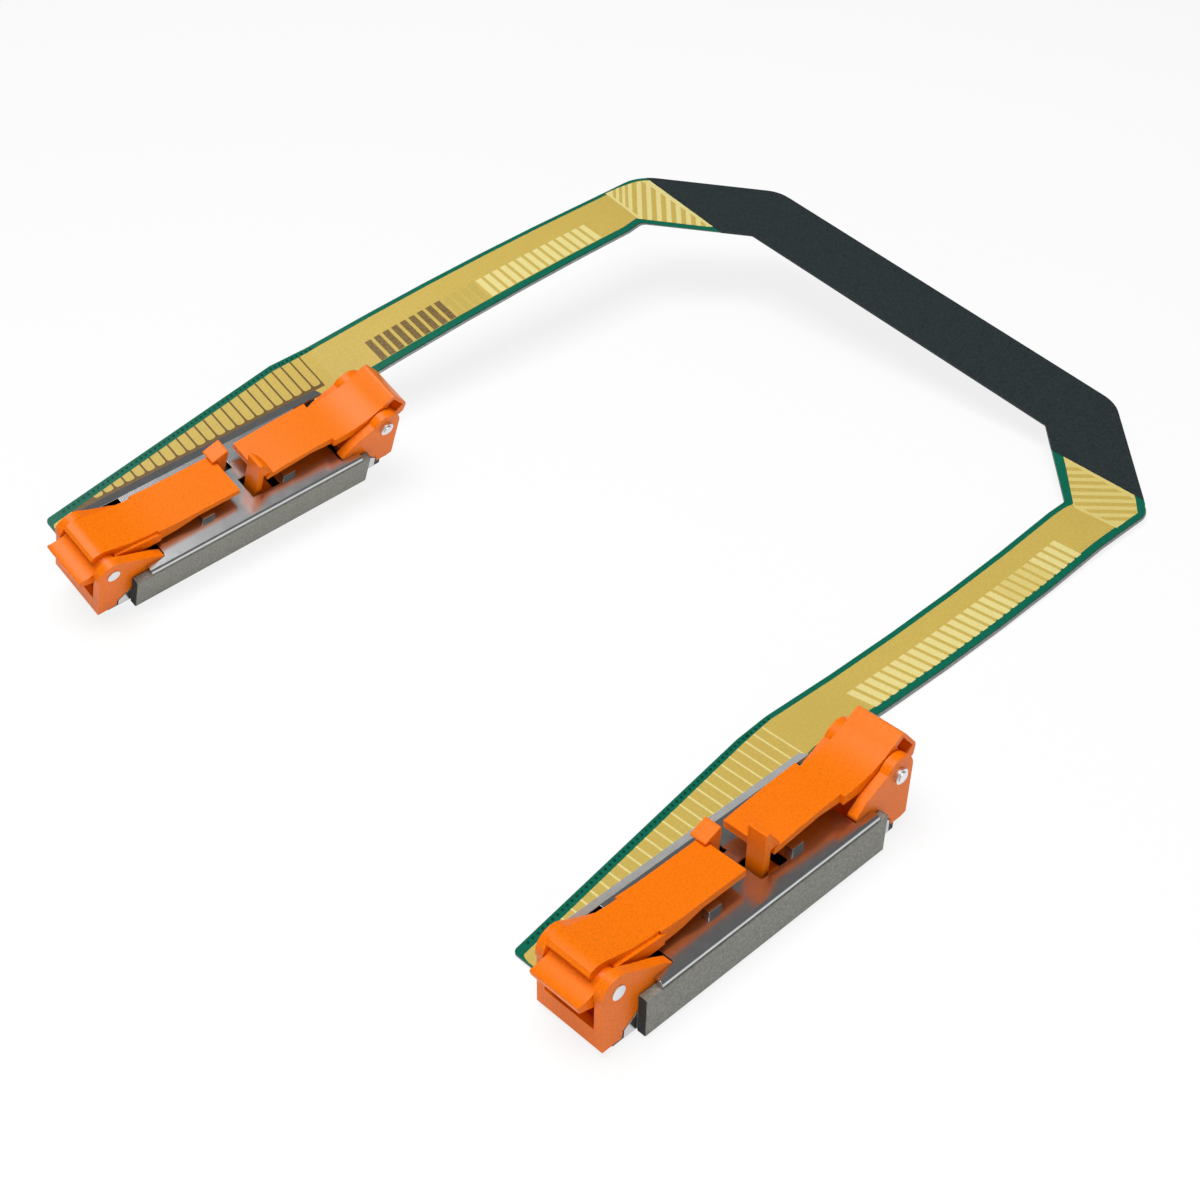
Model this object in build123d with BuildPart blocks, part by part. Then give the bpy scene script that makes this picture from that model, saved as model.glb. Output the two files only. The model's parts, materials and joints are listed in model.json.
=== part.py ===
from build123d import *
import math
import os

os.makedirs("parts", exist_ok=True)

# Server interconnect cable: a U-shaped flexible laminate with a latching
# connector under each arm. All lengths in mm. The frame has its origin at the
# middle of the right connector's mating face, X along the arms, Y towards the
# left arm, Z up. Each connector is drawn in its own seat frame.

# Connector seats
BODY_MID_X = 45.9
BODY_MID_Y = 10.0
CONNECTOR_PITCH = 177.8
LEFT_SHIFT_X = 4.6
LEFT_SHIFT_Y = 0.6
LEFT_LIFT = 0.95
LEFT_ROLL = 22.2
LEFT_PITCH = -3.1
LEFT_YAW = 0.6

# Fits
RUN_GAP = 0.05
SIDE_GAP = 0.2
SHEET_GAP = 0.3

# Flexible laminate
LOWER_Z0 = 0.35
LOWER_T = 0.25
UPPER_T = 0.35
LAYER_GAP = 0.02
FLEX_TOP = LOWER_Z0 + LOWER_T + UPPER_T
GOLD_T = 0.04
MARK_T = 0.05
FILM_T = 0.08
TONGUE_X0 = 6.0
TONGUE_X1 = 85.3
TONGUE_Y0 = 2.4
TIP_Y = 30.7
BEND_X = 85.5
BEND_Y = 42.5
ARM_START = 95.0
ARM_WIDTH = {"right": 16.9, "left": 18.1}
ARM_EDGE = {"right": 25.7, "left": 23.3}
ARM_BOW = {"right": (-1.2, -0.6), "left": (0.0, 1.1)}
ARM_STATIONS = 5
END_WIDTH = {"right": 16.9, "left": 19.0}
END_FLARE = {"right": 0.0, "left": 1.1}
BACK_EDGE = {"right": -64.1, "left": 107.3}
BACK_ROLL = 8.9
BACK_LIFT = 11.8
BACK_X = 259.6
BACK_WIDTH = 24.8
OUTER_CUT = {"right": 33.2, "left": -31.3}
INNER_CUT = {"right": 22.6, "left": -23.5}
ARM_END = BACK_X - 54.6
PEEK = 0.8
MASK_BORDER = 2.2
FILM_OUT = {"right": 0.12, "left": 0.05}
FILM_IN = {"right": 0.65, "left": 0.69}

# Printed pattern
COMB_BARS = 23
COMB_T0 = 0.09
COMB_T1 = 0.95
COMB_T = 0.08
COMB_U0 = 2.6
COMB_U1 = 10.2
FINGERS = 18
FINGER_PITCH = 4.27
FINGER_LINE = 0.45
FINGER_X0 = 17.7
FINGER_FOOT = {"right": (23.0, 23.0), "left": (29.3, 31.0)}

# Pad field under the tongue
PAD_COLUMNS = 15
PAD_ROWS = 4
PAD_STEP_X = 4.8
PAD_STEP_Y = 3.2
PAD_X = 2.6
PAD_Y = 1.8

# Contact housing
FLANGE_X0 = 3.4
FLANGE_X1 = 88.4
FLANGE_T = 1.4
FLANGE_Y0 = 0.6
FLANGE_Y1 = 20.0
FAR_STEP = 2.8
CORE_Z = 9.4

# Steel cover
COVER_TOP = 12.3
SHEET = 0.6
CREASE_Y = 20.1
HEM_Y = -1.6
HEM_R = 0.8

# Levers and yokes
EAR_T = 2.4
INNER_EAR_T = 2.2
NEAR_YOKE_W = 18.0
FAR_YOKE_W = 17.2
PLATE_Y1 = 16.2
NEAR_PIN = (3.9, 15.6)
FAR_PIN = (87.0, 16.8)
NEAR_PIN_R = 1.7
FAR_PIN_R = 1.5
CATCH_Z = 6.0
NEAR_CATCH_X = 45.3
FAR_CATCH_X = 49.9
CATCH_R = 1.9

seats = {
    "right": Plane(Location((-BODY_MID_X, -BODY_MID_Y, 0))),
    "left": Plane(
        Location(
            (LEFT_SHIFT_X - BODY_MID_X, CONNECTOR_PITCH + LEFT_SHIFT_Y - BODY_MID_Y, LEFT_LIFT),
            (LEFT_ROLL, LEFT_PITCH, LEFT_YAW),
        )
    ),
}
back = Plane(
    Location((-BODY_MID_X, CONNECTOR_PITCH / 2 - BODY_MID_Y, BACK_LIFT), (BACK_ROLL, 0, 0))
)


def plan(seat, z):
    """Level plane of a seat at height z, sketched in x and y."""
    return Plane(seat.location * Plane.XY.offset(z).location)


def side(seat, y):
    """Upright plane of a seat at y, sketched in x and z, extruding towards -y."""
    return Plane(seat.location * Plane.XZ.offset(-y).location)


def end(seat, x):
    """Upright plane of a seat at x, sketched in y and z, extruding towards +x."""
    return Plane(seat.location * Plane.YZ.offset(x).location)


def outline(points):
    """Closed polygon as a face of the sketch in progress."""
    with BuildLine() as rim:
        Polyline(*points, close=True)
    make_face(rim.edges())


def box(seat, x0, x1, y0, y1, z0, z1, mode=Mode.ADD):
    """Block between two corners of a seat frame."""
    with BuildSketch(plan(seat, z0)) as base:
        with Locations(((x0 + x1) / 2, (y0 + y1) / 2)):
            Rectangle(x1 - x0, y1 - y0)
    extrude(base.sketch, amount=z1 - z0, mode=mode)


def slab(seat, points, y0, y1, mode=Mode.ADD):
    """Profile in x and z, carried from y0 to y1."""
    with BuildSketch(side(seat, y1)) as profile:
        outline(points)
    extrude(profile.sketch, amount=y1 - y0, mode=mode)


def barrel(seat, centre, radius, y0, y1, mode=Mode.ADD):
    """Round bar or bore along y, from y0 to y1."""
    with BuildSketch(side(seat, y1)) as disc:
        with Locations(centre):
            Circle(radius)
    extrude(disc.sketch, amount=y1 - y0, mode=mode)


def at(vertices, x, y):
    """Sketch corners that lie at one point."""
    return [v for v in vertices if math.hypot(v.X - x, v.Y - y) < 0.01]


def save(builder, label):
    """Name a finished piece and write it out."""
    builder.part.label = label
    export_step(builder.part, f"parts/{label}.step")


def arm_start(name, u, h):
    """Point where an arm leaves its taper."""
    return seats[name].from_local_coords(Vector(ARM_START, ARM_EDGE[name] + u, FLEX_TOP + h))


def arm_end(name, u, h):
    """Point where an arm meets the back."""
    return back.from_local_coords(Vector(ARM_END, BACK_EDGE[name] + u, h))


def strip_corner(name, u, h, t):
    """Point of an arm: u in from its -y edge, h above its top, t along it.

    The straight line between both ends, plus a bow that is fullest halfway.
    """
    widening = END_WIDTH[name] / ARM_WIDTH[name]
    across, up = ARM_BOW[name]
    bow = Vector(0, across, up) * (4 * t * (1 - t))
    return arm_start(name, u, h) * (1 - t) + arm_end(name, u * widening, h) * t + bow


def station(name, u0, u1, h0, h1, t):
    """Cross-section of a strip on an arm, square across at both ends."""
    corners = [strip_corner(name, u, h, t) for u, h in ((u0, h0), (u1, h0), (u1, h1), (u0, h1))]
    across = corners[1] - corners[0]
    up = corners[3] - corners[0]
    face = Plane(origin=corners[0], x_dir=across, z_dir=across.cross(up))
    local = [face.to_local_coords(point) for point in corners]
    with BuildSketch(face) as section:
        outline([(point.X, point.Y) for point in local])
    return section.sketch.face()


def strip(name, u0, u1, h0, h1, t0=0.0, t1=1.0, count=1):
    """Strip along an arm from t0 to t1, through evenly spaced stations."""
    stops = [t0 + (t1 - t0) * i / count for i in range(count + 1)]
    loft([station(name, u0, u1, h0, h1, t) for t in stops], ruled=True)


# Corners of the back: outer and inner chamfers at the end of each arm.
def back_corners(name):
    """Outer and inner chamfer of an arm, each from the arm to the back."""
    edge = BACK_EDGE[name] + END_FLARE[name]
    outer_y = edge + (END_WIDTH[name] if name == "left" else 0)
    inner_y = edge + (0 if name == "left" else END_WIDTH[name])
    outer = OUTER_CUT[name]
    inner = INNER_CUT[name]
    inner_x = BACK_X - BACK_WIDTH
    return (
        [(BACK_X - abs(outer), outer_y), (BACK_X, outer_y + outer)],
        [(inner_x - abs(inner), inner_y), (inner_x, inner_y + inner)],
    )


def between(points, share):
    """Point at a share of the way along a chamfer."""
    (x0, y0), (x1, y1) = points
    return (x0 + (x1 - x0) * share, y0 + (y1 - y0) * share)


(OUTER_L1, OUTER_L2), (INNER_L1, INNER_L2) = back_corners("left")
(OUTER_R1, OUTER_R2), (INNER_R1, INNER_R2) = back_corners("right")


def turn_outline(sketch, peek):
    """Back of the U with its chamfered and rounded corners; peek widens its -y edges."""
    right_end = BACK_EDGE["right"]
    left_end = BACK_EDGE["left"]
    outer_r = (OUTER_R1[0], OUTER_R1[1] - peek)
    inner_l = (INNER_L1[0], INNER_L1[1] - peek)
    outline(
        [
            (ARM_END, right_end - peek),
            outer_r,
            OUTER_R2,
            OUTER_L2,
            OUTER_L1,
            (ARM_END, left_end + END_WIDTH["left"]),
            (ARM_END, left_end - peek),
            inner_l,
            INNER_L2,
            INNER_R2,
            INNER_R1,
            (ARM_END, right_end + END_WIDTH["right"]),
        ]
    )
    rounds = [(OUTER_L1, 14), (OUTER_L2, 9), (OUTER_R2, 10), (outer_r, 7), (inner_l, 3), (INNER_R1, 2)]
    for corner, radius in rounds:
        fillet(at(sketch.vertices(), *corner), radius=radius)


def laminate(label, z0, z1, peek):
    """Full-length layer; peek widens its -y edges."""
    with BuildPart() as sheet:
        for name, seat in seats.items():
            edge = ARM_EDGE[name] - peek
            with BuildSketch(plan(seat, z0)):
                outline(
                    [
                        (TONGUE_X0, TONGUE_Y0),
                        (TONGUE_X1, TONGUE_Y0),
                        (TONGUE_X1, edge),
                        (ARM_START, edge),
                        (ARM_START, ARM_EDGE[name] + ARM_WIDTH[name]),
                        (BEND_X, BEND_Y),
                        (TONGUE_X0, TIP_Y),
                    ]
                )
            extrude(amount=z1 - z0)
            strip(name, -peek, ARM_WIDTH[name], z0 - FLEX_TOP, z1 - FLEX_TOP, count=ARM_STATIONS)
        with BuildSketch(back.offset(z0 - FLEX_TOP)) as turn:
            turn_outline(turn, peek)
        extrude(amount=z1 - z0)
        if label == "flex_upper":
            step = (COMB_T1 - COMB_T0) / COMB_BARS
            for name in seats:
                for i in range(COMB_BARS):
                    t = COMB_T0 + i * step
                    strip(name, COMB_U0, COMB_U1, -0.1, COMB_T, t, t + 0.55 * step)
    save(sheet, label)


# The upper layer carries a comb of short cross bars in low relief.
laminate("flex_lower", LOWER_Z0, LOWER_Z0 + LOWER_T - LAYER_GAP, PEEK)
laminate("flex_upper", LOWER_Z0 + LOWER_T, FLEX_TOP, 0.0)

# Dark shield film over the back of the U, cut along a line at each corner.
film_edge = {}
for name in seats:
    outer, inner = back_corners(name)
    film_edge[name] = [between(outer, FILM_OUT[name]), between(inner, FILM_IN[name])]
film_cut = {name: [between(ends, -0.5), between(ends, 1.5)] for name, ends in film_edge.items()}
with BuildPart() as shield_film:
    with BuildSketch(back) as film_sketch:
        turn_outline(film_sketch, 0)
        with BuildLine() as film_zone:
            Polyline(
                film_cut["left"][1],
                film_cut["left"][0],
                (BACK_X + 10, film_cut["left"][0][1]),
                (BACK_X + 10, film_cut["right"][0][1]),
                film_cut["right"][0],
                film_cut["right"][1],
                close=True,
            )
        make_face(film_zone.edges(), mode=Mode.INTERSECT)
    extrude(amount=FILM_T)
save(shield_film, "shield_film")

# Gold field inside the green border of each taper.
for name, seat in seats.items():
    edge = ARM_EDGE[name] + MASK_BORDER
    with BuildPart() as gold:
        with BuildSketch(plan(seat, FLEX_TOP)):
            with BuildLine():
                Polyline(
                    (10.0, 20.4),
                    (BEND_X - MASK_BORDER, 20.4),
                    (BEND_X - MASK_BORDER, edge),
                    (ARM_START, edge),
                    (ARM_START, edge + ARM_WIDTH[name] - 2 * MASK_BORDER),
                    (BEND_X, BEND_Y - MASK_BORDER),
                    (10.0, 29.1),
                    close=True,
                )
            make_face()
        extrude(amount=GOLD_T)
    save(gold, f"{name}_gold_field")

# Gold at the corners, between the plain arm and the film.
for name in seats:
    outer, inner = back_corners(name)
    film_outer, film_inner = film_edge[name]
    inward = 1 if name == "right" else -1
    border = inward * MASK_BORDER
    with BuildPart() as corner:
        with BuildSketch(back):
            with BuildLine():
                Polyline(
                    (ARM_END + MASK_BORDER, outer[0][1] + border),
                    (outer[0][0] - 1.5, outer[0][1] + border),
                    (film_outer[0] - 1.6, film_outer[1] + border),
                    (film_inner[0] - 0.6, film_inner[1] - border),
                    (inner[0][0], inner[0][1] - border),
                    (ARM_END + MASK_BORDER, inner[0][1] - border),
                    close=True,
                )
            make_face()
        extrude(amount=GOLD_T)
    save(corner, f"{name}_corner_gold")


def rim(name, x):
    """Inner line of the green border along the outer edge of a taper."""
    if x < BEND_X:
        return TIP_Y + (BEND_Y - TIP_Y) * (x - TONGUE_X0) / (BEND_X - TONGUE_X0) - MASK_BORDER
    end_y = ARM_EDGE[name] + ARM_WIDTH[name]
    return BEND_Y + (end_y - BEND_Y) * (x - BEND_X) / (ARM_START - BEND_X) - MASK_BORDER


# Finger row on each taper: bars with cut corners, joined along the border.
for name, seat in seats.items():
    foot0, foot1 = FINGER_FOOT[name]
    half = (FINGER_PITCH - FINGER_LINE) / 2
    with BuildPart() as fingers:
        with BuildSketch(plan(seat, FLEX_TOP + GOLD_T)):
            for i in range(FINGERS):
                x = FINGER_X0 + i * FINGER_PITCH
                foot = foot0 + (foot1 - foot0) * i / (FINGERS - 1)
                rise0 = rim(name, x - half) - 0.2
                rise1 = rim(name, x + half) - 0.2
                cut = min(1.3, rise0 - foot - 0.2)
                outline(
                    [
                        (x - half, rise0),
                        (x - half, foot + cut),
                        (x - half + cut, foot),
                        (x + half - cut, foot),
                        (x + half, foot + cut),
                        (x + half, rise1),
                    ]
                )
            x0 = FINGER_X0 - half
            x1 = FINGER_X0 + (FINGERS - 1) * FINGER_PITCH + half
            crest = [(x, rim(name, x)) for x in (x0, BEND_X, x1)]
            outline([*[(x, y - 0.7) for x, y in crest], *reversed(crest)])
        extrude(amount=MARK_T)
    save(fingers, f"{name}_fingers")


def contact_housing(seat, label):
    """Black moulding that presses the tongue down and carries the yokes."""
    with BuildPart() as housing:
        box(seat, FLANGE_X0, FLANGE_X1, FLANGE_Y0, FLANGE_Y1, 0, FLANGE_T)
        box(seat, 12.6, 75.0, EAR_T + SIDE_GAP, 14.8, FLANGE_T, CORE_Z)
        box(seat, 19.6, 72.4, FLANGE_Y0, FLANGE_Y1, FLANGE_T, CORE_Z)
        box(seat, 79.4, FLANGE_X1, FLANGE_Y0, FLANGE_Y1, FLANGE_T, FAR_STEP)
        for x in (24.0, 62.0):
            box(seat, x, x + 5.0, 5.0, 16.0, CORE_Z, COVER_TOP - SHEET)
        box(seat, TONGUE_X0 - 0.1, TONGUE_X1 + 0.1, 2.3, FLANGE_Y1, 0, FLEX_TOP, Mode.SUBTRACT)
        near = (NEAR_CATCH_X, CATCH_Z)
        far = (FAR_CATCH_X, CATCH_Z)
        barrel(seat, near, CATCH_R + RUN_GAP, 13.4, 17.9, Mode.SUBTRACT)
        box(seat, 44.0, 47.1, 13.4, 17.9, CATCH_Z, CORE_Z, Mode.SUBTRACT)
        barrel(seat, far, CATCH_R + RUN_GAP, 3.5, 8.7, Mode.SUBTRACT)
        box(seat, 48.2, 51.0, 3.5, 8.7, CATCH_Z, CORE_Z, Mode.SUBTRACT)
    save(housing, label)


def contact_pads(seat, label):
    """Pad field under the tongue, held by a thin carrier."""
    with BuildPart() as pads:
        box(seat, 9.0, 82.0, 4.4, 17.6, 0.25, LOWER_Z0)
        with BuildSketch(plan(seat, 0)) as field:
            with Locations((45.5, 11.0)):
                with GridLocations(PAD_STEP_X, PAD_STEP_Y, PAD_COLUMNS, PAD_ROWS):
                    Rectangle(PAD_X, PAD_Y)
        extrude(field.sketch, amount=0.25)
    save(pads, label)


# Lower edges of the two ears, from the wing tip down to the base.
near_edge = [(18.5, 12.0), (13.4, 8.5), (10.0, 6.5), (5.6, 3.4), (5.3, FLANGE_T)]
far_edge = [(73.5, 12.4), (78.4, 9.8), (81.8, 7.8), (86.2, 4.7), (86.5, FAR_STEP)]


def steel_cover(seat, label):
    """Folded sheet cover with a rolled hem on the gasket side."""
    with BuildPart() as cover:
        near_cut = [(x + SHEET_GAP, z - 0.25) for x, z in near_edge[:-1]]
        far_cut = [(x - SHEET_GAP, z - 0.25) for x, z in far_edge[:-1]]
        wall = [(18.9, COVER_TOP), *near_cut, (5.8, 0.9), (86.0, 0.9), *reversed(far_cut)]
        slab(seat, [*wall, (73.1, COVER_TOP)], 0, SHEET)
        box(seat, 19.0, 73.0, 0, CREASE_Y, COVER_TOP - SHEET, COVER_TOP)
        box(seat, 13.5, 78.5, HEM_Y, 0, COVER_TOP - SHEET, COVER_TOP)
        with BuildSketch(end(seat, 13.5)):
            with Locations((HEM_Y, COVER_TOP - HEM_R)):
                Circle(HEM_R)
        extrude(amount=65.0)
        with BuildSketch(end(seat, 9.5)):
            outline(
                [
                    (CREASE_Y - 0.1, COVER_TOP),
                    (CREASE_Y, COVER_TOP),
                    (22.8, 10.9),
                    (22.8, 1.2),
                    (22.2, 1.2),
                    (22.2, 10.5),
                    (CREASE_Y - 0.1, COVER_TOP - SHEET),
                ]
            )
        extrude(amount=72.8)
        for x in (32.0, 56.8):
            box(seat, x, x + 3.6, 2.9, 4.9, COVER_TOP - 0.1, 13.8)
        box(seat, 41.9, 48.3, 12.9, 18.2, 11, 13, Mode.SUBTRACT)
        box(seat, 47.2, 55.5, 2.6, 9.2, 11, 13, Mode.SUBTRACT)
    save(cover, label)


def gasket(seat, label):
    """Conductive fabric sleeve of the strip gasket."""
    with BuildPart() as sleeve:
        with BuildSketch(end(seat, 9.4)):
            with Locations((-1.2, 5.45)):
                RectangleRounded(2.4, 10.3, 0.5)
                Rectangle(1.9, 9.8, mode=Mode.SUBTRACT)
        extrude(amount=71.9)
    save(sleeve, label)


def gasket_core(seat, label):
    """Foam inside the sleeve; its near end stands out."""
    with BuildPart() as core:
        with BuildSketch(end(seat, 8.2)):
            with Locations((-1.2, 5.45)):
                Rectangle(1.9, 9.8)
        extrude(amount=73.6)
    save(core, label)


def ear(seat, pin, radius, edge, top, base_x, base_z, y0, y1):
    """Side cheek of a yoke round its pin."""
    foot = (base_x, base_z)
    head = (base_x, pin[1])
    slab(seat, [foot, head, pin, *top, *edge], y0, y1)
    barrel(seat, pin, radius, y0, y1)


def near_yoke(seat, label):
    """Bracket that carries the near lever."""
    top = [(6.0, 19.3), (8.9, 17.6), (15.2, 14.5), (18.6, 12.4)]
    with BuildPart() as yoke:
        for y0, y1 in ((0, EAR_T), (NEAR_YOKE_W - INNER_EAR_T, NEAR_YOKE_W)):
            ear(seat, NEAR_PIN, 4.3, near_edge, top, 0, FLANGE_T, y0, y1)
        box(seat, 0, 2.0, 0, NEAR_YOKE_W, FLANGE_T, 6.2)
        box(seat, 0, 12.4, 0.6, NEAR_YOKE_W - 0.4, FLANGE_T, 3.4)
        slab(seat, [(5.3, 1.4), (5.6, 3.5), (13, 3.5), (13, 1.4)], -0.1, EAR_T, Mode.SUBTRACT)
        barrel(seat, NEAR_PIN, NEAR_PIN_R, -1, 21, Mode.SUBTRACT)
    save(yoke, label)


def far_yoke(seat, label):
    """Bracket that carries the far lever."""
    top = [(84.6, 20.7), (82.9, 18.9), (76.6, 15.8), (73.5, 13.1)]
    with BuildPart() as yoke:
        for y0, y1 in ((0, EAR_T), (FAR_YOKE_W - INNER_EAR_T, FAR_YOKE_W)):
            ear(seat, FAR_PIN, 4.6, far_edge, top, 91.6, FAR_STEP, y0, y1)
        box(seat, 89.6, 91.6, 0, FAR_YOKE_W, FAR_STEP, 4.9)
        box(seat, 79.6, 90.0, 0.6, FAR_YOKE_W - 0.4, FAR_STEP, 4.4)
        slab(seat, [(86.5, 2.8), (86.2, 4.7), (79, 4.7), (79, 2.8)], -0.1, EAR_T, Mode.SUBTRACT)
        slab(seat, [(89.4, 2.7), (91.7, 2.7), (91.7, 3.3)], -0.1, 20.1, Mode.SUBTRACT)
        barrel(seat, FAR_PIN, FAR_PIN_R, -1, 21, Mode.SUBTRACT)
    save(yoke, label)


def near_pin(seat, label):
    """Plain pin, its end just proud of the ear."""
    with BuildPart() as pin:
        barrel(seat, NEAR_PIN, NEAR_PIN_R, -0.2, NEAR_YOKE_W + 0.2)
    save(pin, label)


def far_pin(seat, label):
    """Pin with a low round head outside the ear."""
    with BuildPart() as pin:
        barrel(seat, FAR_PIN, FAR_PIN_R, 0, FAR_YOKE_W + 0.2)
        barrel(seat, FAR_PIN, 1.9, -0.8, 0)
        barrel(seat, FAR_PIN, 1.3, -1.2, -0.8)
    save(pin, label)


def near_lever(seat, label):
    """Near lever: flat handle, humped nose, mouth and outer lip."""
    handle = [
        (43.4, 17.0),
        (25.0, 17.0),
        (19.2, 17.4),
        (19.2, 13.6),
        (25.0, 13.9),
        (31.0, 15.2),
        (43.4, 15.2),
    ]
    nose = [
        (20.0, 17.3),
        (16.3, 17.6),
        (11.7, 18.1),
        (7.0, 19.4),
        (4.2, 20.2),
        (2.4, 20.3),
        (1.0, 19.8),
        (0.4, 18.9),
        (0.6, 18.2),
        (1.4, 17.8),
        (3.9, 18.0),
        (6.6, 13.4),
        (13.0, 13.3),
        (20.0, 13.6),
    ]
    lip = [
        (1.6, 17.2),
        (0.3, 16.2),
        (-1.4, 15.5),
        (-3.1, 15.3),
        (-3.9, 15.4),
        (-4.1, 14.9),
        (-3.7, 13.6),
        (-2.2, 13.1),
        (0.6, 12.2),
        (3.0, 12.4),
        (3.9, 15.6),
    ]
    y0 = EAR_T + SIDE_GAP
    y1 = NEAR_YOKE_W - INNER_EAR_T - SIDE_GAP
    with BuildPart() as lever:
        slab(seat, handle, 3.8, PLATE_Y1)
        slab(seat, nose, 4.3, y1)
        slab(seat, lip, y0, y1)
        slab(seat, [(20.0, 13.6), (20.0, 16.4), (6.6, 17.6), (6.6, 13.4)], 3.4, y1)
        barrel(seat, NEAR_PIN, 2.9, y0, y1)
        barrel(seat, NEAR_PIN, NEAR_PIN_R + RUN_GAP, -1, 21, Mode.SUBTRACT)
    save(lever, label)


def far_lever(seat, label):
    """Far lever: flat handle, raised end and outer chin."""
    handle = [
        (50.4, 15.2),
        (50.4, 17.0),
        (58.0, 17.8),
        (65.0, 18.4),
        (72.4, 18.7),
        (72.4, 16.3),
        (65.3, 16.8),
    ]
    head = [
        (72.0, 18.7),
        (75.0, 18.8),
        (79.0, 19.3),
        (82.2, 20.2),
        (84.7, 21.2),
        (86.7, 22.4),
        (89.6, 24.4),
        (90.4, 24.6),
        (91.2, 24.1),
        (95.3, 19.2),
        (95.6, 18.3),
        (95.2, 15.8),
        (94.0, 15.1),
        (90.0, 14.4),
        (85.6, 14.4),
        (84.2, 15.4),
        (81.6, 16.2),
        (72.0, 16.3),
    ]
    recess = [
        (88.6, 21.9),
        (90.6, 23.4),
        (94.4, 18.9),
        (92.6, 17.2),
        (90.8, 18.6),
    ]
    y0 = EAR_T + SIDE_GAP
    y1 = FAR_YOKE_W - INNER_EAR_T - SIDE_GAP
    with BuildPart() as lever:
        slab(seat, handle, 3.6, PLATE_Y1)
        slab(seat, head, y0, y1)
        slab(seat, recess, y0 - 0.1, y0 + 3.0, Mode.SUBTRACT)
        barrel(seat, FAR_PIN, 2.9, y0, y1)
        box(seat, 50.0, 51.8, 3.0, 8.9, 14, 19, Mode.SUBTRACT)
        barrel(seat, FAR_PIN, FAR_PIN_R + RUN_GAP, -1, 21, Mode.SUBTRACT)
    save(lever, label)


def near_catch(seat, label):
    """Sprung wedge that holds the near lever down."""
    head = [
        (46.8, 19.5),
        (46.2, 19.5),
        (42.0, 17.9),
        (42.0, 17.3),
        (43.7, 17.3),
        (44.2, 12.0),
        (44.4, 7.0),
        (46.3, 7.0),
        (46.5, 12.0),
        (47.0, 17.5),
    ]
    with BuildPart() as catch:
        slab(seat, head, 13.5, 17.8)
        barrel(seat, (NEAR_CATCH_X, CATCH_Z), CATCH_R, 13.5, 17.8)
    save(catch, label)


def far_catch(seat, label):
    """Sprung post that holds the far lever down."""
    post = [
        (48.8, 22.4),
        (49.9, 22.4),
        (53.2, 18.1),
        (53.2, 17.4),
        (50.7, 17.4),
        (50.6, 10.1),
        (54.4, 10.1),
        (54.4, 9.5),
        (50.6, 9.5),
        (50.6, 7.0),
        (48.9, 7.0),
    ]
    with BuildPart() as catch:
        slab(seat, post, 3.6, 8.6)
        barrel(seat, (FAR_CATCH_X, CATCH_Z), CATCH_R, 3.6, 8.6)
    save(catch, label)


for name, seat in seats.items():
    contact_housing(seat, f"{name}_contact_housing")
    contact_pads(seat, f"{name}_contact_pads")
    steel_cover(seat, f"{name}_steel_cover")
    gasket(seat, f"{name}_gasket")
    gasket_core(seat, f"{name}_gasket_core")
    near_yoke(seat, f"{name}_near_yoke")
    far_yoke(seat, f"{name}_far_yoke")
    near_pin(seat, f"{name}_near_pin")
    far_pin(seat, f"{name}_far_pin")
    near_lever(seat, f"{name}_near_lever")
    far_lever(seat, f"{name}_far_lever")
    near_catch(seat, f"{name}_near_catch")
    far_catch(seat, f"{name}_far_catch")
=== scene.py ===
import json
import math

import bpy
import numpy as np
from mathutils import Matrix, Vector

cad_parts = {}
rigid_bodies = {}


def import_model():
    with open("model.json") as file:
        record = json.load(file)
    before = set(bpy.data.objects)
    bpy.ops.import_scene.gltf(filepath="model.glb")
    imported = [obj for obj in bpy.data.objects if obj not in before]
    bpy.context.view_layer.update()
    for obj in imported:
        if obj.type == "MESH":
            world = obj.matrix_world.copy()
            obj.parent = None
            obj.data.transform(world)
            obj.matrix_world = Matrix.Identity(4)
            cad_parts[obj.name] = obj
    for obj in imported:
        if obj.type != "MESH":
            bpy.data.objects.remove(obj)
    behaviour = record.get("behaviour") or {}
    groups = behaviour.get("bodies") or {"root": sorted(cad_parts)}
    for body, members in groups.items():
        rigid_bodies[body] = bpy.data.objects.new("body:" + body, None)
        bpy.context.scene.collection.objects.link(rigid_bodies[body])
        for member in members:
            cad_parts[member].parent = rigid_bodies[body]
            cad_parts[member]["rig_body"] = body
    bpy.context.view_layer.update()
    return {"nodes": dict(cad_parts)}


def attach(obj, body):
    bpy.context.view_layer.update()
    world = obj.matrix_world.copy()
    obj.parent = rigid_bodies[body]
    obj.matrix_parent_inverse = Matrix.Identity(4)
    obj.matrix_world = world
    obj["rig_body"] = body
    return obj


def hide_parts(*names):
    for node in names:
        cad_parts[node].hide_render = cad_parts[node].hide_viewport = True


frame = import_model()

bl_info = {
    "name": "Server interconnect cable",
    "version": (1, 0, 0),
    "blender": (4, 5, 0),
    "location": "3D View > Sidebar > Interconnect",
    "description": "Dresses the packed model of a U-shaped flat interconnect with two latching connectors",
    "category": "Object",
}

MM = 0.001
SIDES = ("right", "left")

# Seat frames of the two connectors and of the back of the U, in mm and degrees.
SEATS = {
    "right": ((-45.9, -10.0, 0.0), (0.0, 0.0, 0.0)),
    "left": ((-41.3, 168.4, 0.95), (22.2, -3.1, 0.6)),
    "back": ((-45.9, 78.9, 11.8), (8.9, 0.0, 0.0)),
}


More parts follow.
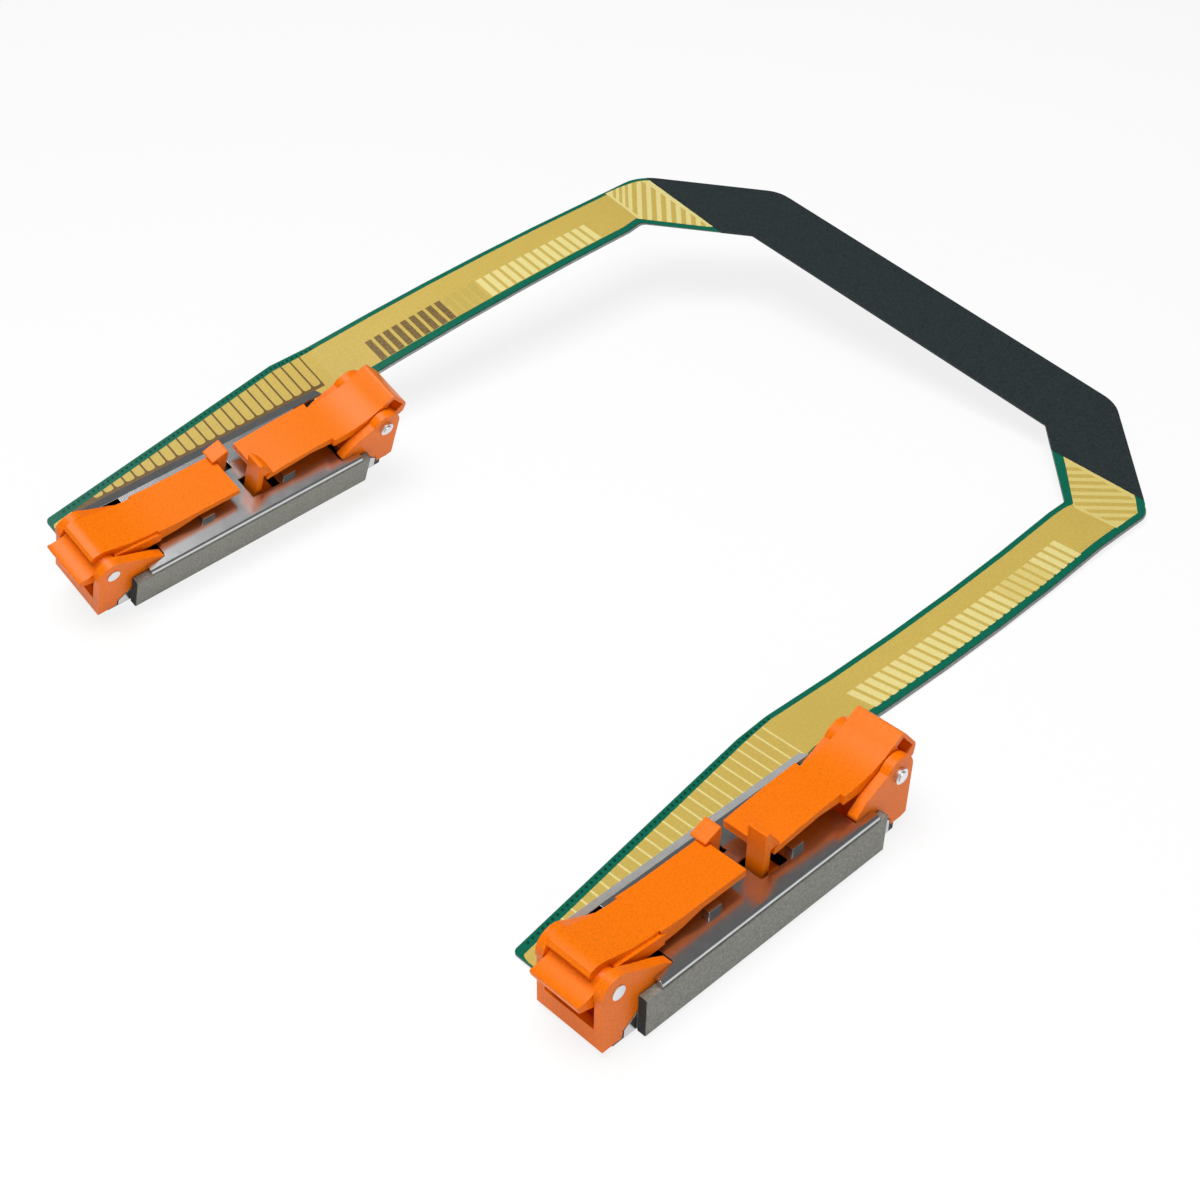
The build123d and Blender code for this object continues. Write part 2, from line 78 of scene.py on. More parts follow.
def turn_matrix(angles):
    """Rotation about x, then the turned y, then the turned z, in degrees."""
    a, b, c = np.radians(angles)
    rx = np.array([[1, 0, 0], [0, np.cos(a), -np.sin(a)], [0, np.sin(a), np.cos(a)]])
    ry = np.array([[np.cos(b), 0, np.sin(b)], [0, 1, 0], [-np.sin(b), 0, np.cos(b)]])
    rz = np.array([[np.cos(c), -np.sin(c), 0], [np.sin(c), np.cos(c), 0], [0, 0, 1]])
    return rx @ ry @ rz


def to_row(seat, points):
    """Points of a seat frame in mm, as row-frame points in mm."""
    origin, angles = SEATS[seat]
    return np.asarray(points, float) @ turn_matrix(angles).T + np.array(origin)


def raised(seat, height):
    """Step of a height along the upright of a seat frame, in the row frame."""
    return to_row(seat, (0, 0, height)) - to_row(seat, (0, 0, 0))


# Sizes and colours that a user would change


def linear(code):
    """Linear colour of an sRGB hex value."""
    srgb = np.array([int(code[i:i + 2], 16) for i in (1, 3, 5)]) / 255
    return tuple(np.where(srgb <= 0.04045, srgb / 12.92, ((srgb + 0.055) / 1.055) ** 2.4)) + (1.0,)


class CableSizes(bpy.types.PropertyGroup):
    """Sizes of the dressed pieces."""

    edge_round: bpy.props.FloatProperty(
        name="Edge rounding", description="Radius on the moulded edges", default=0.00035,
        min=0.0, unit="LENGTH", subtype="DISTANCE")
    finger_pitch: bpy.props.FloatProperty(
        name="Finger pitch", description="Spacing of the fingers on a taper", default=0.00318,
        min=0.001, unit="LENGTH", subtype="DISTANCE")
    comb_pitch: bpy.props.FloatProperty(
        name="Comb pitch", description="Spacing of the cross bars on an arm", default=0.00318,
        min=0.001, unit="LENGTH", subtype="DISTANCE")
    hatch_pitch: bpy.props.FloatProperty(
        name="Hatch pitch", description="Spacing of the stripes at the corners", default=0.0031,
        min=0.001, unit="LENGTH", subtype="DISTANCE")


class CableColours(bpy.types.PropertyGroup):
    """Main colours of the dressed pieces."""

    orange: bpy.props.FloatVectorProperty(
        name="Lever orange", description="Moulded levers, yokes and catches", subtype="COLOR",
        size=3, default=linear("#F27400")[:3], min=0, max=1)
    mask: bpy.props.FloatVectorProperty(
        name="Mask green", description="Solder mask on the edges", subtype="COLOR",
        size=3, default=linear("#02664F")[:3], min=0, max=1)
    gold: bpy.props.FloatVectorProperty(
        name="Gold", description="Plated copper under the clear film", subtype="COLOR",
        size=3, default=linear("#CBB054")[:3], min=0, max=1)


# Meshes

# Merged copies of CAD nodes: distance of the weld in metres, and the angles in degrees up to which
# flat triangles are joined and from which an edge is rounded.
WELD = 0.000002
FLAT_ANGLE = 0.5
EDGE_ANGLE = 25
EDGE_SEGMENTS = 3


def mesh_piece(name, vertices, faces):
    """A new object with flat faces from points in mm in the row frame; it rides on the base."""
    data = bpy.data.meshes.new(name)
    data.from_pydata((vertices * MM).tolist(), [], faces)
    data.validate()
    data.polygons.foreach_set("use_smooth", [False] * len(data.polygons))
    piece = bpy.data.objects.new(name, data)
    bpy.context.scene.collection.objects.link(piece)
    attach(piece, "base")
    return piece


def finish(piece, material):
    """Gives a piece one material in place of those it has."""
    piece.data.materials.clear()
    piece.data.materials.append(material)


def grid_faces(rows, columns, wrap):
    """Quads of a rows by columns grid, closed round the columns where wrap is set."""
    last = columns if wrap else columns - 1
    r, c = np.meshgrid(np.arange(rows - 1), np.arange(last), indexing="ij")
    d = (c + 1) % columns
    quads = np.stack([r * columns + c, r * columns + d, (r + 1) * columns + d, (r + 1) * columns + c], -1)
    return quads.reshape(-1, 4)


def carried_profile(rings):
    """Vertices and faces of a closed profile carried along rings of equal length, with end caps."""
    rings = np.asarray(rings, float)
    rows, columns = rings.shape[:2]
    quads = grid_faces(rows, columns, True).tolist()
    first = list(range(columns))[::-1]
    last = [(rows - 1) * columns + i for i in range(columns)]
    return rings.reshape(-1, 3), quads + [first, last]


def plates(outlines, lift):
    """Thin closed plates: each outline of m corners and its copy raised by lift, joined by walls.

    An outline that runs clockwise seen from its raised side is turned round first.
    """
    outlines = np.asarray(outlines, float)
    lift = np.broadcast_to(lift, (len(outlines), 3))
    turn = np.cross(outlines - outlines.mean(1, keepdims=True), np.roll(outlines, -1, 1) - outlines).sum(1)
    clockwise = (turn * lift).sum(-1)[:, None, None] < 0
    outlines = np.where(clockwise, outlines[:, ::-1], outlines)
    count, corners = outlines.shape[:2]
    vertices = np.stack([outlines, outlines + lift[:, None]], 1).reshape(-1, 3)
    start = (np.arange(count) * 2 * corners)[:, None]
    ring = np.arange(corners)
    after = (ring + 1) % corners
    walls = np.stack([start + ring, start + after, start + corners + after, start + corners + ring], -1)
    caps = np.concatenate([start + ring[::-1], start + corners + ring])
    return vertices, caps.tolist() + walls.reshape(-1, 4).tolist()


def smoothed_copy(node, width):
    """A merged copy of a CAD node with rounded edges; it stands for the node."""
    source = frame["nodes"][node]
    data = source.data.copy()
    piece = bpy.data.objects.new(f"{node}_skin", data)
    bpy.context.scene.collection.objects.link(piece)
    weld = piece.modifiers.new("weld", "WELD")
    weld.merge_threshold = WELD
    flat = piece.modifiers.new("flat", "DECIMATE")
    flat.decimate_type = "DISSOLVE"
    flat.angle_limit = math.radians(FLAT_ANGLE)
    bevel = piece.modifiers.new("bevel", "BEVEL")
    bevel.width = width
    bevel.segments = EDGE_SEGMENTS
    bevel.limit_method = "ANGLE"
    bevel.angle_limit = math.radians(EDGE_ANGLE)
    data.polygons.foreach_set("use_smooth", [True] * len(data.polygons))
    weighted = piece.modifiers.new("normals", "WEIGHTED_NORMAL")
    weighted.keep_sharp = True
    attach(piece, source["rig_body"])
    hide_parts(node)
    return piece


# Laminate


def arc_corner(before, corner, after, radius, steps):
    """Points of a rounded corner: the arc that touches both edges at the given radius."""
    p, a, b = (np.array(v, float) for v in (corner, before, after))
    ua, ub = (a - p) / np.linalg.norm(a - p), (b - p) / np.linalg.norm(b - p)
    half = math.acos(np.clip(ua @ ub, -1, 1)) / 2
    reach = radius / math.tan(half)
    centre = p + (ua + ub) / np.linalg.norm(ua + ub) * radius / math.sin(half)
    start, stop = p + ua * reach - centre, p + ub * reach - centre
    sweep = math.acos(np.clip(start @ stop / radius**2, -1, 1))
    t = np.linspace(0, 1, steps)[:, None]
    points = (np.sin((1 - t) * sweep) * start + np.sin(t * sweep) * stop) / math.sin(sweep)
    return centre + points


# Tapers in the seat frames of the connectors: height of the laminate's top, line of the tongue,
# and the two corners of each rim.
TOP = 0.95
TONGUE_Y = 20.4
TIP = {"right": (5.3, 30.6), "left": (5.3, 30.4)}
TIP_RADIUS = 1.3
TIP_STEPS = 7
BEND = {"right": (84.4, 41.9), "left": (82.6, 41.4)}
# Shares of the way from bend to arm where the foot leaves the tongue and where it reaches the arm.
FOOT_SHARES = (0.2, 0.28)
# Arms: each starts at ARM_X in its connector's seat frame and ends at ARM_END in the back's frame,
# given by its -y edge and its width; the bow is how far its middle lies off the straight line.
ARM_X = 95.0
ARM_END = 205.0
ARM_EDGE = {"right": 25.7, "left": 23.3}
ARM_WIDTH = {"right": 16.9, "left": 18.1}
END_EDGE = {"right": -64.1, "left": 107.3}
END_WIDTH = {"right": 16.9, "left": 19.0}
ARM_BOW = {"right": (0.0, -1.2, -0.6), "left": (0.0, 0.0, 1.1)}
ARM_KNOTS = np.linspace(0, 1, 6)
# Corners of the back in its own plane, from the right arm round to the left one, with their radii.
OUTER = [(226.4, -64.1), (259.6, -30.9), (259.6, 96.1), (228.3, 127.4)]
OUTER_RADII = (7, 10, 9, 14)
INNER = [(212.2, -47.2), (234.8, -24.6), (234.8, 84.9), (211.3, 108.4)]
INNER_RADII = (2, 0.6, 0.6, 3)
CORNER_STEPS = 9
# Inner and outer end of the stations where the dark film starts.
FILM_LINE = {"right": [(227.0, -32.4), (230.4, -60.1)], "left": [(227.5, 92.2), (232.6, 123.1)]}


def flat3(points, height=0.0):
    """Points in a plane with a height added."""
    points = np.asarray(points, float).reshape(-1, 2)
    return np.concatenate([points, np.full((len(points), 1), height)], 1)


def arm_point(side, t, u, height=0.0):
    """Point of an arm: share t along it, u in from its -y edge, height above its top.

    point = start (1 - t) + end t + bow share(t), with share straight between the knots of
    4 t (1 - t); u widens by the ratio of both end widths.
    """
    t, u, height = np.broadcast_arrays(np.asarray(t, float), u, height)
    widening = END_WIDTH[side] / ARM_WIDTH[side]
    start = np.stack([np.full(t.shape, ARM_X), ARM_EDGE[side] + u, TOP + height], -1)
    stop = np.stack([np.full(t.shape, ARM_END), END_EDGE[side] + u * widening, height + 0.0], -1)
    share = np.interp(t, ARM_KNOTS, 4 * ARM_KNOTS * (1 - ARM_KNOTS))[..., None]
    ruled = to_row(side, start) * (1 - t)[..., None] + to_row("back", stop) * t[..., None]
    return ruled + share * ARM_BOW[side]


def laminate_edges():
    """Matched stations of the inner and outer edge of the U, from the right tip to the left tip.

    Tapers and back are flat plates; each arm is ruled between its two ends.
    """
    def taper(side):
        """Rim and foot of a taper; the foot follows the tongue and steps out to the arm at its end."""
        bend = np.array(BEND[side])
        tip = arc_corner((TIP[side][0], TONGUE_Y), TIP[side], bend, TIP_RADIUS, TIP_STEPS)
        end = np.array([ARM_X, ARM_EDGE[side] + ARM_WIDTH[side]])
        rim = np.concatenate([tip, [bend], [bend * (1 - share) + end * share for share in FOOT_SHARES]])
        foot = np.stack([rim[:, 0], np.full(len(rim), TONGUE_Y)], 1)
        foot[-1, 1] = ARM_EDGE[side]
        return to_row(side, flat3(rim, TOP)), to_row(side, flat3(foot, TOP))

    def arm(side):
        """Both edges of an arm at its knots."""
        return arm_point(side, ARM_KNOTS, ARM_WIDTH[side]), arm_point(side, ARM_KNOTS, 0.0)

    def arcs(start_y, corners, radii, stop_y):
        """The four rounded corners of one edge of the back."""
        ring = [(ARM_END, start_y), *corners, (ARM_END, stop_y)]
        return [arc_corner(*ring[i:i + 3], radius, CORNER_STEPS) for i, radius in enumerate(radii)]

    inner = arcs(END_EDGE["right"] + END_WIDTH["right"], INNER, INNER_RADII, END_EDGE["left"])
    outer = arcs(END_EDGE["right"], OUTER, OUTER_RADII, END_EDGE["left"] + END_WIDTH["left"])
    film = [([FILM_LINE[side][0]], [FILM_LINE[side][1]]) for side in SIDES]
    first, second, third, fourth = zip(inner, outer)
    corners = [first, film[0], second, third, film[1], fourth]
    turn = [(to_row("back", flat3(a)), to_row("back", flat3(b))) for a, b in corners]
    # The left side runs from the arm to the tip, and its rim is the outer edge.
    back_to_front = [(low[::-1], high[::-1]) for high, low in (arm("left"), taper("left"))]
    pieces = [taper("right"), arm("right"), *turn, *back_to_front]
    return [np.concatenate(edge) for edge in zip(*pieces)]


IN_EDGE, OUT_EDGE = laminate_edges()
MID = (IN_EDGE + OUT_EDGE) / 2
# Path length of each station; the small addition keeps stations with one middle point apart.
STATION = np.concatenate([[0], np.cumsum(np.linalg.norm(np.diff(MID, axis=0), axis=1) + 1e-4)])
# Half the length over which a direction along the sheet is taken, and the least sine by which a
# distance is stretched where an edge runs askew.
NUDGE = 0.3
LEAST_SINE = 0.5
# Samples of the middle line in a search, the widest spacing of a strip's rings in mm, and the
# difference below which two values count as one.
PATH_SAMPLES = 6000
RING_STEP = 4.0
SAME = 1e-6


def unit(vectors):
    """Vectors at length one."""
    return vectors / np.linalg.norm(vectors, axis=-1, keepdims=True)


def edges_at(s):
    """Inner and outer edge points at path lengths s, straight between stations."""
    s = np.asarray(s, float)
    inner = np.stack([np.interp(s, STATION, IN_EDGE[:, k]) for k in range(3)], -1)
    outer = np.stack([np.interp(s, STATION, OUT_EDGE[:, k]) for k in range(3)], -1)
    return inner, outer


def path_of(seat, x, y):
    """Path length at which the middle line comes nearest to a point of a seat frame."""
    s = np.linspace(0, STATION[-1], PATH_SAMPLES)
    line = sum(edges_at(s)) / 2
    return s[np.argmin(np.linalg.norm(line - to_row(seat, [(x, y, 0)]), axis=1))]


def from_edge(s, edge, distance, height):
    """Points on the sheet at path lengths s: square in from an edge by a distance, raised by a height.

    point = edge + across distance / sin(angle between across and the edge) + normal height
    """
    inner, outer = edges_at(s)
    ahead, behind = edges_at(np.asarray(s) + NUDGE), edges_at(np.asarray(s) - NUDGE)
    across = unit(outer - inner)
    along = unit(sum(ahead) - sum(behind))
    normal = unit(np.cross(across, along))
    which = 0 if edge == "in" else 1
    tangent = unit(ahead[which] - behind[which] + 1e-9)
    sine = np.maximum(np.linalg.norm(np.cross(across, tangent), axis=-1), LEAST_SINE)
    reach = (np.broadcast_to(distance, np.shape(s)) / sine)[:, None]
    base = (inner, outer)[which]
    return base + (across if which == 0 else -across) * reach + normal * height


def strip_rings(s, inside, outside, low, high):
    """Rings of a strip at path lengths s between two lines, each given by its edge and distance."""
    corners = [(inside, low), (outside, low), (outside, high), (inside, high)]
    return np.stack([from_edge(s, *line, height) for line, height in corners], 1)


def all_stations(s0, s1, step=RING_STEP):
    """Every station between two path lengths, with more where they lie far apart."""
    inside = STATION[(STATION > s0 + SAME) & (STATION < s1 - SAME)]
    base = np.concatenate([[s0], inside, [s1]])
    out = [np.linspace(a, b, max(2, int((b - a) / step) + 1))[:-1] for a, b in zip(base[:-1], base[1:])]
    return np.concatenate(out + [[s1]])


def strip_piece(name, rings, material):
    """A carried four-cornered profile as one piece."""
    return joined(name, [carried_profile(rings)], material)


def joined(name, parts, material):
    """Several closed meshes as one piece on the base."""
    vertices, faces, base = [], [], 0
    for v, f in parts:
        vertices.append(np.asarray(v, float))
        faces += [[i + base for i in face] for face in f]
        base += len(v)
    piece = mesh_piece(name, np.concatenate(vertices), faces)
    finish(piece, material)
    return piece


# Materials


def add(tree, kind, settings=(), links=()):
    """Adds a node, sets its fields or sockets, and links outputs to its inputs."""
    node = tree.nodes.new(kind)
    for key, value in dict(settings).items():
        if isinstance(key, str) and hasattr(node, key):
            setattr(node, key, value)
        else:
            node.inputs[key].default_value = value
    for key, source in dict(links).items():
        tree.links.new(source, node.inputs[key])
    return node


def finish_material(name):
    """A new node material: returns it, its tree, its shader and its object coordinates."""
    material = bpy.data.materials.new(name)
    material.use_nodes = True
    tree = material.node_tree
    shader = tree.nodes["Principled BSDF"]
    place = add(tree, "ShaderNodeTexCoord").outputs["Object"]
    return material, tree, shader, place


# Depth of the relief in metres, octaves of the noise, and its part over which the two tones blend.
RELIEF = 0.0001
NOISE_DETAIL = 3.0
TONE_SPAN = (0.3, 0.7)
# Share of a set colour in the darker and in the lighter speck.
TINT_SHARES = (0.88, 1.1)


def speckled(name, low, high, grain_mm, roughness, bump=0.1, metallic=0.0, specular=0.5):
    """A finish with a fine speckle of two near tones and a matching bump.

    The real grains are mostly finer than can show, so they are drawn as coarse as they need to be.
    """
    material, tree, shader, place = finish_material(name)
    grain = {"Scale": 1 / (grain_mm * MM), "Detail": NOISE_DETAIL}
    fleck = add(tree, "ShaderNodeTexNoise", grain, {"Vector": place}).outputs["Fac"]
    tone = add(tree, "ShaderNodeValToRGB", links={0: fleck})
    for element, code, position in zip(tone.color_ramp.elements, (low, high), TONE_SPAN):
        element.color = linear(code)
        element.position = position
    relief = add(tree, "ShaderNodeBump", {"Strength": bump, "Distance": RELIEF}, {"Height": fleck})
    tree.links.new(tone.outputs["Color"], shader.inputs["Base Color"])
    tree.links.new(relief.outputs["Normal"], shader.inputs["Normal"])
    shader.inputs["Roughness"].default_value = roughness
    shader.inputs["Metallic"].default_value = metallic
    shader.inputs["Specular IOR Level"].default_value = specular
    return material


def tint(material, colour):
    """Sets the two tones of a speckled finish a little below and above a colour."""
    ramp = next(node for node in material.node_tree.nodes if node.type == "VALTORGB")
    for element, share in zip(ramp.color_ramp.elements, TINT_SHARES):
        element.color = (*(min(1.0, channel * share) for channel in colour), 1.0)


# Glass-filled polymer, moulded: even orange with a fine sparkle of the filler and soft gloss.
ORANGE = speckled("moulded_orange_polymer", "#F26A05", "#FF8012", 0.5, 0.36, 0.1, specular=0.18)
# Black moulding inside, matt.
BLACK = speckled("moulded_black_polymer", "#0B0C0D", "#17181A", 0.6, 0.55, 0.1)
# Bright rolled stainless sheet: a near mirror, slightly softened.
STEEL = speckled("rolled_stainless_sheet", "#C4C5C6", "#CFD0D1", 3.0, 0.2, 0.0, metallic=1.0)
# Turned and polished steel pins: bright, with soft highlights.
PIN = speckled("polished_pin_steel", "#DCDEE0", "#ECEDEF", 2.0, 0.38, 0.0, metallic=1.0)
# Woven conductive fabric over foam: grey with a short warm and cool speckle.
FABRIC = speckled("woven_conductive_fabric", "#6F6F66", "#92928A", 0.45, 0.62, 0.35)
# Open foam end of the gasket.
FOAM = speckled("cut_gasket_foam", "#1F2423", "#343A39", 0.5, 0.9, 0.3)
# Solder mask over copper: deep green, glossy.
MASK = speckled("solder_mask_green", "#086A50", "#0D7F61", 0.9, 0.32, 0.08, specular=0.25)
# Plated holes under the mask: the same green, darker.
PLATED_HOLES = speckled("mask_over_plated_holes", "#01382D", "#03483A", 0.9, 0.3, 0.05, specular=0.2)
# Grey core layer of the laminate.
CORE_LAYER = speckled("laminate_grey_core", "#747876", "#8A8E8C", 0.8, 0.55, 0.08)
# Plated copper under a clear film: satin ochre gold.
GOLD = speckled("plated_copper_under_film", "#C4A546", "#D2B559", 0.35, 0.42, 0.06)
# Bare bars in the film: paler and creamier.
PALE_GOLD = speckled("exposed_pale_gold", "#E0D080", "#EADD98", 0.4, 0.4, 0.05)
# The same pale bars in lighter painted shade, where the shade under the left arm fades out and they hardly
# differ from the field.
LIGHT_SHADE_GOLD = speckled("light_shade_pale_gold", "#BBA24A", "#C9B25C", 0.4, 0.4, 0.05)
# Pale ground of the right corner and some right bars, close to the gold.
SOFT_GOLD = speckled("soft_pale_gold", "#D8C46E", "#E2D082", 0.4, 0.42, 0.05)
# Brown substrate between the left fingers.
POLYIMIDE = speckled("bare_polyimide_brown", "#5E4319", "#765722", 0.4, 0.45, 0.05)
# Bars in painted shade: the clear bars by the left connector, where shade falls under the raised arm, drawn
# dark brown with flecks of gold.
SHADED_BARS = speckled("painted_shade_bars", "#54421E", "#8E7236", 0.45, 0.5, 0.05)
# Grained dark shield film.
FILM = speckled("grained_shield_film", "#192326", "#2A3436", 0.7, 0.5, 0.25, specular=0.35)
# Contact pads, bright plated.
PADS = speckled("hard_gold_pads", "#B8943A", "#D9B85E", 0.5, 0.3, 0.03, metallic=1.0)


# Pieces

# Foam block behind the gasket fabric in a connector's seat frame: corners, foot and height in mm.
FOAM_BLOCK = [(9.25, -2.15), (81.6, -2.15), (81.6, -0.25), (9.25, -0.25)]
FOAM_LOW = 0.55
FOAM_HEIGHT = 9.8
# Edge rounding of the rolled covers and of the fabric, in metres.
COVER_ROUND = 0.00012
FABRIC_ROUND = 0.0001
MOULDINGS = ("near_lever", "far_lever", "near_yoke", "far_yoke", "near_catch", "far_catch")


class DressMouldings(bpy.types.Operator):
    """Rounds the edges of the levers, yokes and catches and gives them their orange finish."""

    bl_idname = "cable.dress_mouldings"
    bl_label = "Mouldings"

    def execute(self, context):
        tint(ORANGE, context.scene.cable_colours.orange)
        width = context.scene.cable_sizes.edge_round
        for side in SIDES:
            for part in MOULDINGS:
                piece = smoothed_copy(f"{side}_{part}", width)
                finish(piece, ORANGE)
        return {"FINISHED"}


class DressMetal(bpy.types.Operator):
    """Gives the covers, pins, gaskets and housings their finishes."""

    bl_idname = "cable.dress_metal"
    bl_label = "Covers, pins and gaskets"

    def execute(self, context):
        rounded = {
            "steel_cover": (STEEL, "steel", COVER_ROUND),
            "gasket": (FABRIC, "gasket_fabric", FABRIC_ROUND),
        }
        plain = {"contact_housing": BLACK, "contact_pads": PADS, "near_pin": PIN, "far_pin": PIN}
        for side in SIDES:
            for part, (material, name, width) in rounded.items():
                piece = smoothed_copy(f"{side}_{part}", width)
                finish(piece, material)
            block = to_row(side, flat3(FOAM_BLOCK, FOAM_LOW))[None]
            foam = joined(f"{side}_foam", [plates(block, raised(side, FOAM_HEIGHT))], FOAM)
            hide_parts(f"{side}_gasket_core")
            for part, material in plain.items():
                finish(frame["nodes"][f"{side}_{part}"], material)
        return {"FINISHED"}


# Laminate heights above its top, in mm: the mask, the core layer below it, and the film that wraps
# both and stands off the edges by WRAP.
MASK_HEIGHTS = (-0.35, 0.0)
CORE_HEIGHTS = (-0.6, -0.36)
WRAP_HEIGHTS = (-0.62, 0.002)
WRAP = 0.03
# The core shows by CORE_PEEK beside the mask on both -y edges, up to PEEK_ENDS in the back's frame,
# where it fades out between PEEK_ARM_SIDE and PEEK_FILM_SIDE.
CORE_PEEK = 0.65
PEEK_ENDS = {"right": (220, -52), "left": (221, 114)}
PEEK_ARM_SIDE = 6
PEEK_FILM_SIDE = 3
# The core's tongue under each connector, in the seat frame.
TONGUE = [(6.0, 2.4), (85.3, 2.4), (85.3, 20.5), (6.0, 20.5)]
TONGUE_LOW = 0.35
TONGUE_HEIGHT = 0.23
# Middle of the film's two ends, in the back's frame.
FILM_ENDS = {"right": (229, -44), "left": (229.5, 105)}
# Plated holes along the long edge of each taper, from the tip up to ARM_START: spacing, radius,
# distance from the edge and height, in mm.
DOT_PITCH = 1.6
DOT_RADIUS = 0.42
DOT_INSET = 0.95
DOT_BASE = 0.004
DOT_HEIGHT = 0.012
DOT_SIDES = 6
DOT_TIP_GAP = 4.0
ARM_START = (96, 33)


class BuildSheet(bpy.types.Operator):
    """Builds the green laminate with its grey core showing along the -y edges."""

    bl_idname = "cable.build_sheet"
    bl_label = "Laminate"

    def execute(self, context):
        tint(MASK, context.scene.cable_colours.mask)
        s = all_stations(0.0, STATION[-1])
        right_end, left_end = (path_of("back", *PEEK_ENDS[side]) for side in SIDES)
        peek_out = np.interp(s, [right_end - PEEK_ARM_SIDE, right_end + PEEK_FILM_SIDE], [CORE_PEEK, 0.0])
        peek_in = np.interp(s, [left_end - PEEK_FILM_SIDE, left_end + PEEK_ARM_SIDE], [0.0, CORE_PEEK])
        rings = strip_rings(s, ("in", peek_in), ("out", peek_out), *MASK_HEIGHTS)
        mask = strip_piece("sheet_mask", rings, MASK)
        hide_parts("flex_upper")
        outlines = [to_row(side, flat3(TONGUE, TONGUE_LOW)) for side in SIDES]
        tongues = plates(outlines, [raised(side, TONGUE_HEIGHT) for side in SIDES])
        rings = strip_rings(s, ("in", 0.0), ("out", 0.0), *CORE_HEIGHTS)
        core = joined("sheet_core", [carried_profile(rings), tongues], CORE_LAYER)
        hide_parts("flex_lower")
        s = all_stations(*(path_of("back", *FILM_ENDS[side]) for side in SIDES))
        wrap = strip_piece("film_wrap", strip_rings(s, ("in", -WRAP), ("out", -WRAP), *WRAP_HEIGHTS), FILM)
        dots = self.border_dots()
        finish(frame["nodes"]["shield_film"], FILM)
        return {"FINISHED"}

    def border_dots(self):
        """A row of small plated holes under the mask, along the long edge of each taper.

        Hole: middle + radius (cos(a) ahead + sin(a) inwards), for a all round.
        """
        left = np.arange(path_of("left", *ARM_START), STATION[-1] - DOT_TIP_GAP, DOT_PITCH)
        right = np.arange(DOT_TIP_GAP, path_of("right", *ARM_START), DOT_PITCH)
        a = np.linspace(0, 2 * np.pi, DOT_SIDES, endpoint=False)[None, :, None]
        outlines = []
        for s, edge in ((left, "out"), (right, "in")):
            middle = from_edge(s, edge, DOT_INSET, DOT_BASE)[:, None]
            ahead = unit(from_edge(s + NUDGE, edge, DOT_INSET, DOT_BASE)[:, None] - middle)
            inwards = unit(from_edge(s, edge, DOT_INSET + NUDGE, DOT_BASE)[:, None] - middle)
            outlines.append(middle + DOT_RADIUS * (np.cos(a) * ahead + np.sin(a) * inwards))
        outlines = np.concatenate(outlines)
        lift = unit(np.cross(outlines[:, 1] - outlines[:, 0], outlines[:, 2] - outlines[:, 0]))
        lift *= DOT_HEIGHT * np.sign(lift[:, 2:])
        return joined("border_dots", [plates(outlines, lift)], PLATED_HOLES)


# Green left free by the gold in mm, as inner and outer border, in order along the sheet.
TIP_BORDER = 2.3
BEND_BORDER = 1.9
ARM_BORDER = 1.6
BORDERS = {
    "right": [(TIP_BORDER, 0.3), (BEND_BORDER, 0.3), (1.5, 2.6), (1.5, 2.6), (2.7, 2.6)],
    "left": [(2.9, 1.3), (2.7, 1.3), (2.7, 1.4), (0.3, BEND_BORDER), (0.3, TIP_BORDER)],
}
# Where the gold meets the film and where the borders change, as points near the middle line, with
# the lengths over which they change.
GOLD_ENDS = {"right": (228.7, -46), "left": (230, 107.5)}
GOLD_UNDER_FILM = 1.0
GOLD_TIP_GAP = 0.5
TAPER_END = (85.0, 33)
ARM_TURN = {"right": (219, -55), "left": (220, 117)}
TAPER_CHANGE = 12
TURN_CHANGE = (5, 3)
FIELD_STEP = 2.0
# Heights above the laminate's top and thicknesses in mm; each layer lies clear of the one below.
FIELD_HEIGHTS = (0.004, 0.03)
GROUND_HEIGHT = 0.031
COMB_HEIGHT = 0.032
STRIPE_HEIGHT = 0.04
FINGER_HEIGHT = 0.042
FINGER_THICKNESS = 0.01
BAR_THICKNESS = 0.012
FRAME_THICKNESS = 0.008
# Fingers on each taper, counted from the arm towards the tip.
FINGERS = 24
# Right taper in its seat frame, where pale lines part them: x of the first line, least x, half a
# line's width, and its foot, which steps out to ARM_FOOT past TONGUE_END_X.
LINE_END_X = 91.6
LINE_TIP_X = 16.0
LINE_HALF = 0.26
LINE_FOOT = 23.0
ARM_FOOT = 28.3
TONGUE_END_X = 86.5
# Left taper in its seat frame, where they stand on a brown ground: share of the set pitch, x where
# they start, both ends of the ground, foot, shortest finger, gap between two, least straight part,
# and the reach, corners and power of the rounded foot.
LEFT_CLOSENESS = 0.992
LEFT_END_X = 91.42
LEFT_GROUND_X = (12.0, 91.65)
FINGER_FOOT = 29.3
FINGER_SHORTEST = 0.6
FINGER_GAP = 0.56
FINGER_STRAIGHT = 0.1
FOOT_REACH = 1.1
FOOT_STEPS = 11
FOOT_POWER = 0.6
# Corner frames in the back's frame, run round with the inside on the left, and the two lines on
# the mitre's and the film's side at which the stripes end.
CORNER_ZONES = {
    "right": [(212.2, -50.2), (214.8, -61.9), (224.6, -61.9), (228.6, -58.6), (231.9, -55.3), (228.8, -34.7)],
    "left": [(211.6, 110.7), (226.0, 95.9), (230.2, 92.9), (231.2, 122.4), (228.0, 124.5), (223.4, 125.7),
             (219.4, 126.1), (212.9, 126.1)],
}
STRIPE_ENDS = {
    "right": [((213.2, -49.9), (215.8, -61.8)), ((228.5, -57.0), (225.9, -34.6))],
    "left": [((213.8, 126.2), (212.6, 110.8)), ((226.7, 92.6), (227.6, 124.4))],
}
# Direction of the stripes, the pitch of each as a share of the set one, and half their width.
STRIPE_WAYS = {"right": (1.0, -0.78), "left": (1.0, 1.04)}
STRIPE_STEPS = {"right": np.full(14, 0.9), "left": np.array([0.6] * 4 + [0.95] * 9)}
STRIPE_HALF = 0.25
SHORTEST_BAR = 0.6
